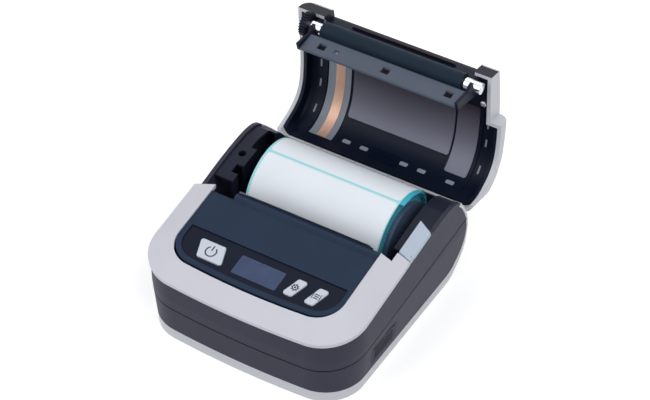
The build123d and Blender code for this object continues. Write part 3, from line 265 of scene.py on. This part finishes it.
def roll_end_material():
    """End of the roll: hundreds of paper edges, pale and turquoise, as rings about the axis."""
    n = Nodes("roll_end")
    ring_pitch = 0.00042
    _, y, z = n.axes()
    dy = n.math("SUBTRACT", y, roll[0] * MM)
    dz = n.math("SUBTRACT", z, roll[1] * MM)
    radius = n.math("SQRT", n.math("ADD", n.math("MULTIPLY", dy, dy), n.math("MULTIPLY", dz, dz)))
    rings = n.math("SINE", n.math("MULTIPLY", radius, 2 * math.pi / ring_pitch))
    uneven = n.noise(900, 3, 0.6)
    edge = n.math("ADD", n.math("MULTIPLY", rings, 0.35), uneven)
    n.set(Base_Color=n.ramp(edge, [(0.2, srgb(18, 128, 154)), (0.85, srgb(104, 196, 212))]), Roughness=0.6)
    n.bump(edge, 0.4, 0.00008)
    return n.mat


def shell_material():
    """Pale lid shell whose ear fronts and inner ear faces are dark, told by their place on the closed lid."""
    n = Nodes("shell_plastic")
    ear_front, crown_low, rim_inside, ear_inside, ear_step = -0.0046, 0.0546, 0.0584, 0.043, -0.0001
    x, y, z = n.axes()
    dy = n.math("SUBTRACT", y, hinge[0] * MM)
    dz = n.math("SUBTRACT", z, hinge[1] * MM)
    c, q = math.cos(lid_open), math.sin(lid_open)
    turned_y = n.math("SUBTRACT", n.math("MULTIPLY", dy, c), n.math("MULTIPLY", dz, q))
    turned_z = n.math("ADD", n.math("MULTIPLY", dy, q), n.math("MULTIPLY", dz, c))
    closed_y = n.math("ADD", turned_y, hinge[0] * MM)
    closed_z = n.math("ADD", turned_z, hinge[1] * MM)
    side = n.math("ABSOLUTE", x)
    front = n.math("LESS_THAN", closed_y, ear_front)
    front = n.math("MULTIPLY", front, n.math("LESS_THAN", closed_z, crown_low))
    front = n.math("MULTIPLY", front, n.math("LESS_THAN", side, rim_inside))
    inner = n.math("MULTIPLY", n.math("LESS_THAN", side, ear_inside), n.math("LESS_THAN", closed_y, ear_step))
    dark = n.math("MAXIMUM", front, inner)
    pale = n.ramp(n.noise(38, 4, 0.6), [(0.3, srgb(207, 209, 215)), (0.7, srgb(213, 215, 221))])
    colour = n.mix(dark, pale, srgb(24, 29, 40))
    rough = n.spread(n.noise(240, 5, 0.7), 0.36, 0.5)
    n.set(Base_Color=colour, Roughness=rough, Specular_IOR_Level=0.2)
    n.bump(n.noise(2600, 2, 0.5), 0.35, 0.00004, soft_edge)
    return n.mat


turquoise = paper("turquoise_edge", srgb(58, 178, 204))
gap_line = paper("gap_line", srgb(166, 226, 232))
# Near-black painted shade for the seam gap and the port cover's slot
painted_gap_shade = moulded("painted_gap_shade", srgb(6, 7, 14), 0.6, specular=0.08)
copper = metal("copper", srgb(232, 188, 164), 0.4, (1, 0.2, 0.2), 0.3)
board = moulded("board", srgb(40, 92, 66), 0.35, grain=0.00003)
roll_end = roll_end_material()
shell_plastic = shell_material()
liner_grey = liner_material()
# Pale grey of painted light: glints in the liner's windows and slits
painted_glint = moulded("painted_glint", srgb(150, 156, 170), 0.5, vary=0.05, specular=0.2)
guide_slate = moulded("guide_slate", srgb(76, 92, 116), 0.45, vary=0.08, specular=0.2)
screen_lens = lens_material()

finish = {
    "base_tray": rim_plastic,
    "rubber_feet": rubber,
    "lower_housing": wall_plastic,
    "upper_housing": wall_plastic,
    "front_frame": light_plastic,
    "release_lever": lever_plastic,
    "fascia": fascia_black,
    "display_window": screen_lens,
    "top_panel": slate_plastic,
    "tear_bar": slate_plastic,
    "lever_pin": chrome,
    "hinge_pin": chrome,
    "mechanism_frame": steel,
    "print_head": ear_black,
    "heat_sink": aluminium,
    "head_spring": steel,
    "feed_motor": steel,
    "paper_bay": bay_plastic,
    "main_board": board,
    "usb_port": steel,
    "power_port": fascia_black,
    "key_board": board,
    "display_module": fascia_black,
    "battery_pack": ear_black,
    "battery_latch": wall_plastic,
    "lid_shell": shell_plastic,
    "lid_liner": ear_black,
    "left_bush": chrome,
    "right_bush": chrome,
    "sensor_bracket": bracket_grey,
    "sensor_strip": strip_grey,
    "sensor_flex": copper,
    "platen_roller": platen_rubber,
    "platen_shaft": chrome,
    "platen_gear": gear_plastic,
    "power_button": key_grey,
    "menu_button": key_grey,
    "feed_button": key_grey,
    "label_roll": roll_end,
    "roll_core": card,
    "left_guide": guide_slate,
    "right_guide": guide_slate,
    "guide_pinion": gear_plastic,
    "drive_gear": gear_plastic,
    "idler_gear": gear_plastic,
    "motor_pinion": brass,
    "port_cover": cover_rubber,
}
for name, node in nodes.items():
    for slot in node.material_slots:
        slot.material = finish[name]


# Pieces laid on curved faces
def patch(name, place, u, v, h, material, body, corner, counts):
    """A thin closed piece over the rectangle u by v, from height h[0] to h[1]; place maps (u, v, h) to mm."""
    rows = []
    for j in range(counts[1] + 1):
        t = v[0] + (v[1] - v[0]) * j / counts[1]
        near = min(t - v[0], v[1] - t)
        trim = corner - math.sqrt(max(0, corner**2 - (corner - near) ** 2)) if near < corner else 0
        rows.append((t, u[0] + trim, u[1] - trim))
    verts = []
    for height in h:
        for t, low, high in rows:
            for i in range(counts[0] + 1):
                verts.append([c * MM for c in place(low + (high - low) * i / counts[0], t, height)])
    wide, layer = counts[0] + 1, (counts[0] + 1) * (counts[1] + 1)
    faces = []
    for j in range(counts[1]):
        for i in range(counts[0]):
            a = j * wide + i
            faces.append((a, a + 1, a + wide + 1, a + wide))
            faces.append((layer + a, layer + a + wide, layer + a + wide + 1, layer + a + 1))
    rim = list(range(wide))
    rim += [j * wide + counts[0] for j in range(1, counts[1] + 1)]
    rim += [counts[1] * wide + i for i in range(counts[0] - 1, -1, -1)]
    rim += [j * wide for j in range(counts[1] - 1, 0, -1)]
    for a, b in zip(rim, rim[1:] + rim[:1]):
        faces.append((a, a + layer, b + layer, b))
    finish_piece(name, verts, faces, material, body)


def finish_piece(name, verts, faces, material, body, smooth=True):
    """Makes the mesh, turns its faces outward, and hangs it on its body."""
    mesh = bpy.data.meshes.new(name)
    mesh.from_pydata(verts, [], faces)
    work = bmesh.new()
    work.from_mesh(mesh)
    bmesh.ops.remove_doubles(work, verts=work.verts, dist=1e-7)
    bmesh.ops.recalc_face_normals(work, faces=work.faces)
    work.to_mesh(mesh)
    work.free()
    made = bpy.data.objects.new(name, mesh)
    bpy.context.collection.objects.link(made)
    mesh.materials.append(material)
    if smooth:
        mesh.polygons.foreach_set("use_smooth", [True] * len(mesh.polygons))
        mesh.set_sharp_from_angle(angle=math.radians(35))
    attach(made, body)
    return made


def crown_point(s, h):
    """A point of the lid, opened, at arc length s along the liner's inner face and height h over it."""
    y, z = crown_start
    for radius, first, last in crown_bends:
        cy = y + radius * math.sin(math.radians(first))
        cz = z - radius * math.cos(math.radians(first))
        run = (radius - liner_inset) * math.radians(first - last)
        if s <= run or last == -90.0:
            turn = math.radians(first) - min(s, run) / (radius - liner_inset)
            reach = radius - liner_inset - h
            return cy - reach * math.sin(turn), cz + reach * math.cos(turn) - max(0, s - run)
        s -= run
        y = cy - radius * math.sin(math.radians(last))
        z = cz + radius * math.cos(math.radians(last))


def on_liner(x, s, h):
    y, z = crown_point(s, h)
    dy, dz = y - hinge[0], z - hinge[1]
    c, q = math.cos(lid_open), math.sin(lid_open)
    return x, hinge[0] + dy * c + dz * q, hinge[1] - dy * q + dz * c


def on_roll(x, arc, h):
    """Arc is in mm from the roll's rearmost point, over the top."""
    turn = arc / roll[2]
    return x, roll[0] + (roll[2] + h) * math.cos(turn), roll[1] + (roll[2] + h) * math.sin(turn)


def on_keys(x, y, h):
    """A point over the key tops, which stand 0.6 mm above the fascia."""
    z = 56.1 + math.tan(panel_tilt) * y
    return x, y - h * math.sin(panel_tilt), z + h * math.cos(panel_tilt)


def arc_on_keys(cx, cy):
    def place(turn, radius, h):
        return on_keys(cx + radius * math.cos(turn), cy + radius * math.sin(turn), h)

    return place


def rad(*degrees):
    return tuple(math.radians(d) for d in degrees)


# Lid liner: warm grey panels with grooves between them; a band and a pocket of painted shade, and slits and
# windows painted pale as glints of light
def liner_piece(name, x, s, rise, material, corner, counts):
    patch(name, on_liner, x, s, (-0.05, rise), material, "lid", corner, counts)


liner_pieces = {
    "liner_main_panel": ((-29.5, 30.0), (2.0, 60.0), 0.35, liner_grey, 0.8, (4, 60)),
    "liner_side_panel": ((31.2, 43.6), (26.0, 68.0), 0.35, liner_grey, 0.8, (4, 60)),
    # Painted shade: a dark strip where the liner turns downward
    "liner_shade_band": ((-29.5, 29.6), (61.0, 69.5), 0.2, ear_black, 0.5, (4, 16)),
    "liner_edge_left": ((-46.6, -45.2), (24.0, 74.0), 0.5, ear_black, 0.4, (2, 50)),
    "liner_edge_right": ((44.6, 45.8), (24.0, 74.0), 0.5, ear_black, 0.4, (2, 50)),
    # Painted shade: a black patch standing for the dark hole of the pocket
    "liner_pocket_shade": ((-9.0, 8.0), (70.5, 77.5), 0.6, fascia_black, 0.8, (4, 12)),
}
for name, (x, s, rise, material, corner, counts) in liner_pieces.items():
    liner_piece(name, x, s, rise, material, corner, counts)
opening_rise = 0.08
window_half, window_span = 2.3, (72.0, 74.4)
# Painted light: pale patches as glints of light in the windows
for i, x in enumerate((-23.5, -13.0, 10.5, 21.0, 37.5)):
    across = (x - window_half, x + window_half)
    liner_piece(
        f"liner_window_glint_{i}", across, window_span, opening_rise, painted_glint, 0.5, (3, 6)
    )
slit_half_width, slit_half_length = 0.5, 2.4
slits = [
    (-49.4, 35.6),
    (-49.2, 47.6),
    (-48.6, 62.0),
    (48.4, 8.0),
    (48.4, 26.0),
    (48.4, 35.6),
    (48.4, 46.4),
    (48.4, 61.2),
]
# Painted light: pale dashes as glints of light along the liner's ribs
for i, (x, s) in enumerate(slits):
    across = (x - slit_half_width, x + slit_half_width)
    along = (s - slit_half_length, s + slit_half_length)
    liner_piece(f"liner_slit_glint_{i}", across, along, opening_rise, painted_glint, 0.45, (2, 10))


# Label roll: liner wound over the end rings, with two labels and the gap between them
wrap_thickness, label_thickness = 0.12, 0.13
wrap_end = roll[2] * math.pi * 0.999
label_wide, label_long = (-36.6, 37.4), 62
front_label = roll[2] * math.radians(97.3)
rear_label = roll[2] * math.radians(93.6)
patch(
    "roll_wrap",
    on_roll,
    (-38.0, 38.0),
    (-wrap_end, wrap_end),
    (0.0, wrap_thickness),
    gap_line,
    "roll",
    0,
    (2, 144),
)
for name, arc in (
    ("label_front", (front_label, front_label + label_long)),
    ("label_rear", (rear_label - label_long, rear_label)),
):
    heights = (wrap_thickness, wrap_thickness + label_thickness)
    patch(name, on_roll, label_wide, arc, heights, label_white, "roll", 1.6, (2, 90))


def on_turn(radius):
    def place(x, turn, h):
        return x, roll[0] + (radius + h) * math.cos(turn), roll[1] + (radius + h) * math.sin(turn)

    return place


# Turns that stand a little proud of the roll's right end: radius, how far right, first and last angle
loose_turns = [(24.95, 40.6, 38, 97), (24.1, 40.0, 30, 88), (23.2, 39.4, 22, 80), (22.2, 38.9, 12, 70)]
for i, (radius, reach, start, stop) in enumerate(loose_turns):
    patch(
        f"loose_turn_{i}",
        on_turn(radius),
        (37.9, reach),
        rad(start, stop),
        (0.0, 0.14),
        turquoise,
        "roll",
        0,
        (2, 24),
    )


# Marks on the keys: power, settings wheel and label feed
def mark(name, place, u, v, key, corner, counts):
    patch(name, place, u, v, (0.0, 0.06), ink, key, corner, counts)


power_x, menu_x = -26.5, 20.6
full_turn = rad(0, 359.9)
mark("power_ring", arc_on_keys(power_x, key_y - 0.2), rad(125, 415), (2.45, 3.1), "power_key", 0, (40, 1))
mark("power_bar", on_keys, (power_x - 0.3, power_x + 0.3), (key_y + 0.2, key_y + 3.5), "power_key", 0.28, (2, 8))
menu_place = arc_on_keys(menu_x, key_y)
mark("menu_ring", menu_place, full_turn, (1.05, 1.6), "menu_key", 0, (32, 1))
mark("menu_dot", menu_place, full_turn, (0.02, 0.55), "menu_key", 0, (20, 1))
wheel_teeth, tooth_half_angle = 8, 0.16
for i in range(wheel_teeth):
    turn = 2 * math.pi * i / wheel_teeth
    sector = (turn - tooth_half_angle, turn + tooth_half_angle)
    mark(f"menu_tooth_{i}", menu_place, sector, (1.6, 2.1), "menu_key", 0, (2, 1))
for i in range(3):
    low = key_y - 1.35 + 1.1 * i
    mark(f"feed_line_{i}", on_keys, (31.0, 33.6), (low, low + 0.5), "feed_key", 0.15, (4, 4))
for side, across in (("left", (30.1, 30.5)), ("right", (34.1, 34.5))):
    mark(f"feed_bar_{side}", on_keys, across, (key_y - 1.9, key_y + 1.9), "feed_key", 0.1, (1, 6))


def tear_teeth():
    """Fine saw teeth along the tear bar."""
    top, rear, thick, pitch, height, depth = 56.66, -4.6, 0.35, 1.2, 0.5, 1.6
    left, right = -33.4, 42.0
    count = int((right - left) / pitch)
    outline = [(left, top - depth)]
    for i in range(count):
        x = left + i * pitch
        outline += [(x, top), (x + pitch / 2, top + height)]
    outline += [(left + count * pitch, top), (left + count * pitch, top - depth)]
    verts = [(x * MM, rear * MM, z * MM) for x, z in outline]
    verts += [(x * MM, (rear + thick) * MM, z * MM) for x, z in outline]
    n = len(outline)
    faces = []
    for i in range(1, n - 1):
        faces.append((0, i, i + 1))
        faces.append((n, n + i + 1, n + i))
    for i in range(n):
        j = (i + 1) % n
        faces.append((i, i + n, j + n, j))
    finish_piece("tear_teeth", verts, faces, steel, "base", False)


tear_teeth()


def screw(name, centre, normal, radius, height, body):
    """Domed screw head with a cross recess."""
    axis = Vector(normal).normalized()
    side = axis.orthogonal().normalized()
    other = axis.cross(side)
    profile = [
        (1.0, -0.3),
        (1.0, 0.35),
        (0.93, 0.6),
        (0.8, 0.78),
        (0.62, 0.9),
        (0.46, 0.96),
        (0.3, 0.99),
        (0.15, 1.0),
    ]
    around = 48
    recess_reach, recess_half, recess_depth = 0.66, 0.13, 0.55
    verts, faces = [], []
    for share, rise in profile:
        for i in range(around):
            turn = 2 * math.pi * i / around
            a, b = math.cos(turn) * share, math.sin(turn) * share
            sunk = share < recess_reach and min(abs(a), abs(b)) < recess_half
            lift = (rise - (recess_depth if sunk else 0)) * height
            verts.append(Vector(centre) * MM + (side * a + other * b) * radius * MM + axis * lift * MM)
    verts.append(Vector(centre) * MM + axis * (1 - recess_depth) * height * MM)
    for ring in range(len(profile) - 1):
        for i in range(around):
            j = (i + 1) % around
            a = ring * around
            faces.append((a + i, a + j, a + around + j, a + around + i))
    last = (len(profile) - 1) * around
    for i in range(around):
        faces.append((last + i, last + (i + 1) % around, len(verts) - 1))
    faces.append(tuple(range(around))[::-1])
    finish_piece(name, [tuple(v) for v in verts], faces, chrome, body)


lid_screw = (45.4, 22.5)
lid_screw_way = [b - a for a, b in zip(on_liner(*lid_screw, 0), on_liner(*lid_screw, 1))]
screw("lid_screw_right", on_liner(*lid_screw, 0.2), lid_screw_way, 1.9, 1.1, "lid")
for i, (x, y) in enumerate(((-47, -8), (47, -8), (-30, 34), (30, 34))):
    screw(f"base_screw_{i}", (x, y, 0.24), (0, 0, -1), 2.4, 0.22, "base")


# Outer walls: the seam's shadow, squarer rear corners and the port cover's relief
def wall_inset(z):
    """How far the walls lean in at a height, below the taper."""
    return max(0.0, (taper_height - z) * taper_inset / (taper_height - foot_proud))


def seam_path(run, rise, h):
    """A point near the seam; run goes from 0 at the right rear, round the front, to 1 at the left rear."""
    centre_x = half_body - front_corner
    reach = bow_radius - front_corner
    centre_y = bow_centre_y - math.sqrt(reach**2 - centre_x**2)
    side = seam_rear - centre_y
    sweep = math.acos(centre_x / reach)
    bend = front_corner * sweep
    front = 2 * bow_radius * (math.pi / 2 - sweep)
    total = 2 * side + 2 * bend + front
    run *= total
    flip = 1
    if run > total / 2:
        run, flip = total - run, -1
    if run < side:
        x, y, nx, ny = half_body, seam_rear - run, 1.0, 0.0
    elif run < side + bend:
        turn = (run - side) / front_corner
        nx, ny = math.cos(turn), -math.sin(turn)
        x, y = centre_x + front_corner * nx, centre_y + front_corner * ny
    else:
        turn = sweep + (run - side - bend) / bow_radius
        nx, ny = math.cos(turn), -math.sin(turn)
        x, y = bow_radius * nx, bow_centre_y + bow_radius * ny
    z = seam_height + math.tan(seam_slope) * y + rise
    out = h - wall_inset(z)
    return flip * (x + nx * out), y + ny * out, z


# Painted shade: a near-black strip along the seam stands for the shadow in the gap between the housings
patch(
    "wall_seam",
    seam_path,
    (0.0, 1.0),
    (-0.32, 0.32),
    (-0.2, 0.06),
    painted_gap_shade,
    "base",
    0,
    (240, 1),
)

heel_y, heel_z = half_depth - heel_radius, foot_proud + heel_radius
skin = 2.7
core_floor, core_radius = 7.3, 17.3
rim_gap = 0.2
edge_radius = 1.6
corner_y, corner_x = half_depth - rear_corner, half_body - rear_corner


def rear_reach(z):
    """How far back the body reaches at a height: heel below, rim curve above."""
    if z < heel_z:
        return heel_y + math.sqrt(max(0.0, heel_radius**2 - (heel_z - z) ** 2))
    for (ya, za), (yb, zb) in zip(rim_line, rim_line[1:]):
        if zb <= z <= za:
            return yb + (ya - yb) * (z - zb) / (za - zb) - rim_gap
    return half_depth


def dark_reach(z):
    """How far back the dark side reaches, inside the light skin."""
    centre_z = core_floor + core_radius
    if z > centre_z:
        core = half_depth - skin
    else:
        core = heel_y + math.sqrt(max(0.0, core_radius**2 - (centre_z - z) ** 2))
    return min(core, rear_reach(z) - skin)


def corner_place(side, light):
    """Fills the rounded rear corner: u runs to the rear as a share, v is the height, h goes from in to out."""

    def place(u, z, h):
        reach = rear_reach(z)
        split = max(corner_y, dark_reach(z))
        first, last = (split, reach) if light else (corner_y, split)
        y = first + (last - first) * u
        rounded = max(0.0, edge_radius - (reach - y))
        outer = half_body - (edge_radius - math.sqrt(max(0.0, edge_radius**2 - rounded**2)))
        inner = corner_x + math.sqrt(max(0.0, rear_corner**2 - (y - corner_y) ** 2)) - 0.15
        x = inner + (max(outer, inner + 0.05) - inner) * h
        return side * (x - wall_inset(z)), y, z

    return place


corner_parts = {
    "rear_corner": (False, (9.3, 48.7), wall_plastic, "dark_plastic", (12, 60)),
    "rear_edge": (True, (2.3, 49.9), rim_plastic, "light_plastic", (10, 60)),
}
for side, name in ((1, "right"), (-1, "left")):
    for part, (light, heights, material, slot, counts) in corner_parts.items():
        place = corner_place(side, light)
        patch(f"{part}_{name}", place, (0.0, 1.0), heights, (0.0, 1.0), material, "base", 0, counts)


def on_port(y, z, h):
    return half_body - wall_inset(z) + h, y, z


def port_piece(name, y, z, rise, material, corner, counts):
    patch(name, on_port, y, z, (-0.1, rise), material, "port_cover", corner, counts)


# Painted shade: the dark line on the port cover stands for shade in the slot
port_piece("port_slot", (-30.2, -21.0), (18.6, 19.4), 0.06, painted_gap_shade, 0.3, (2, 6))
for i in range(5):
    low = 11.3 + 1.25 * i
    port_piece(f"port_rib_{i}", (-28.6, -12.0), (low, low + 0.55), 0.22, cover_rubber, 0.25, (2, 6))
port_piece("port_grip", (-18.4, -10.4), (18.2, 19.9), 0.3, cover_rubber, 0.6, (2, 10))


# Floor, light and camera
def area_light(name, place, aim, size, power):
    lamp = bpy.data.lights.new(name, "AREA")
    lamp.energy = power
    lamp.size = size
    made = bpy.data.objects.new(name, lamp)
    bpy.context.collection.objects.link(made)
    made.location = place
    made.rotation_euler = (Vector(aim) - Vector(place)).to_track_quat("-Z", "Y").to_euler()


def stage_floor():
    """White floor that glows more far out and is clear from below."""
    mesh = bpy.data.meshes.new("floor")
    half = 3.0
    square = [(-half, -half, 0), (half, -half, 0), (half, half, 0), (-half, half, 0)]
    mesh.from_pydata(square, [], [(0, 1, 2, 3)])
    made = bpy.data.objects.new("floor", mesh)
    bpy.context.collection.objects.link(made)
    n = Nodes("floor_white")
    n.set(Base_Color=(0.9, 0.9, 0.91, 1), Roughness=0.9, Specular_IOR_Level=0.1)
    rays = n.node("ShaderNodeLightPath")
    glow = n.node("ShaderNodeEmission")
    apart = n.node("ShaderNodeVectorMath", operation="LENGTH")
    n.link(n.place, apart.inputs[0])
    far = n.node("ShaderNodeMapRange")
    for socket, value in (("From Min", 0.35), ("From Max", 1.5), ("To Min", 0.42), ("To Max", 1.0)):
        far.inputs[socket].default_value = value
    n.link(apart.outputs["Value"], far.inputs["Value"])
    n.link(far.outputs["Result"], glow.inputs["Strength"])
    add = n.node("ShaderNodeAddShader")
    n.link(n.shader.outputs[0], add.inputs[0])
    n.link(glow.outputs[0], add.inputs[1])
    seen = n.math("MAXIMUM", rays.outputs["Is Camera Ray"], rays.outputs["Is Glossy Ray"])
    seen = n.math("MAXIMUM", seen, rays.outputs["Is Transmission Ray"])
    choice = n.node("ShaderNodeMixShader")
    n.link(seen, choice.inputs[0])
    n.link(n.shader.outputs[0], choice.inputs[1])
    n.link(add.outputs[0], choice.inputs[2])
    under = n.node("ShaderNodeMixShader")
    n.link(n.node("ShaderNodeNewGeometry").outputs["Backfacing"], under.inputs[0])
    n.link(choice.outputs[0], under.inputs[1])
    n.link(n.node("ShaderNodeBsdfTransparent").outputs[0], under.inputs[2])
    n.link(under.outputs[0], n.tree.nodes["Material Output"].inputs["Surface"])
    mesh.materials.append(n.mat)


stage_floor()
area_light("key", (0.75, -0.25, 1.05), (0, 0.03, 0.04), 0.9, 6.6)
area_light("fill", (-0.6, -0.75, 0.8), (0, 0.03, 0.04), 1.0, 5.2)
area_light("top", (-0.2, 0.7, 1.1), (0, 0.05, 0.05), 1.0, 3.2)

world = bpy.data.worlds.new("studio")
bpy.context.scene.world = world
world.use_nodes = True
wt = world.node_tree
background = wt.nodes["Background"]
background.inputs["Color"].default_value = (0.97, 0.98, 1, 1)
background.inputs["Strength"].default_value = 0.32
path = wt.nodes.new("ShaderNodeLightPath")
seen = None
for ray in ("Is Glossy Ray", "Is Transmission Ray"):
    both = wt.nodes.new("ShaderNodeMath")
    both.operation = "MAXIMUM"
    wt.links.new(seen.outputs[0] if seen else path.outputs["Is Camera Ray"], both.inputs[0])
    wt.links.new(path.outputs[ray], both.inputs[1])
    seen = both
white = wt.nodes.new("ShaderNodeBackground")
white.inputs["Color"].default_value = (1, 1, 1, 1)
white.inputs["Strength"].default_value = 1.0
choose = wt.nodes.new("ShaderNodeMixShader")
wt.links.new(seen.outputs[0], choose.inputs[0])
wt.links.new(background.outputs[0], choose.inputs[1])
wt.links.new(white.outputs[0], choose.inputs[2])
wt.links.new(choose.outputs[0], wt.nodes["World Output"].inputs["Surface"])

toward = Vector((0.3885, -0.6345, 0.6682)).normalized()
right = Vector((0.8528, 0.5222, 0)).normalized()
up = toward.cross(right).normalized()
camera_data = bpy.data.cameras.new("camera")
camera = bpy.data.objects.new("camera", camera_data)
bpy.context.collection.objects.link(camera)
camera_data.lens = 114.8
camera_data.sensor_width = 36
camera_data.clip_start = 0.01
camera.matrix_world = Matrix(
    (
        (right.x, up.x, toward.x, 0.3946),
        (right.y, up.y, toward.y, -0.6237),
        (right.z, up.z, toward.z, 0.7266),
        (0, 0, 0, 1),
    )
)
bpy.context.scene.camera = camera
bpy.context.scene.view_settings.view_transform = "Standard"
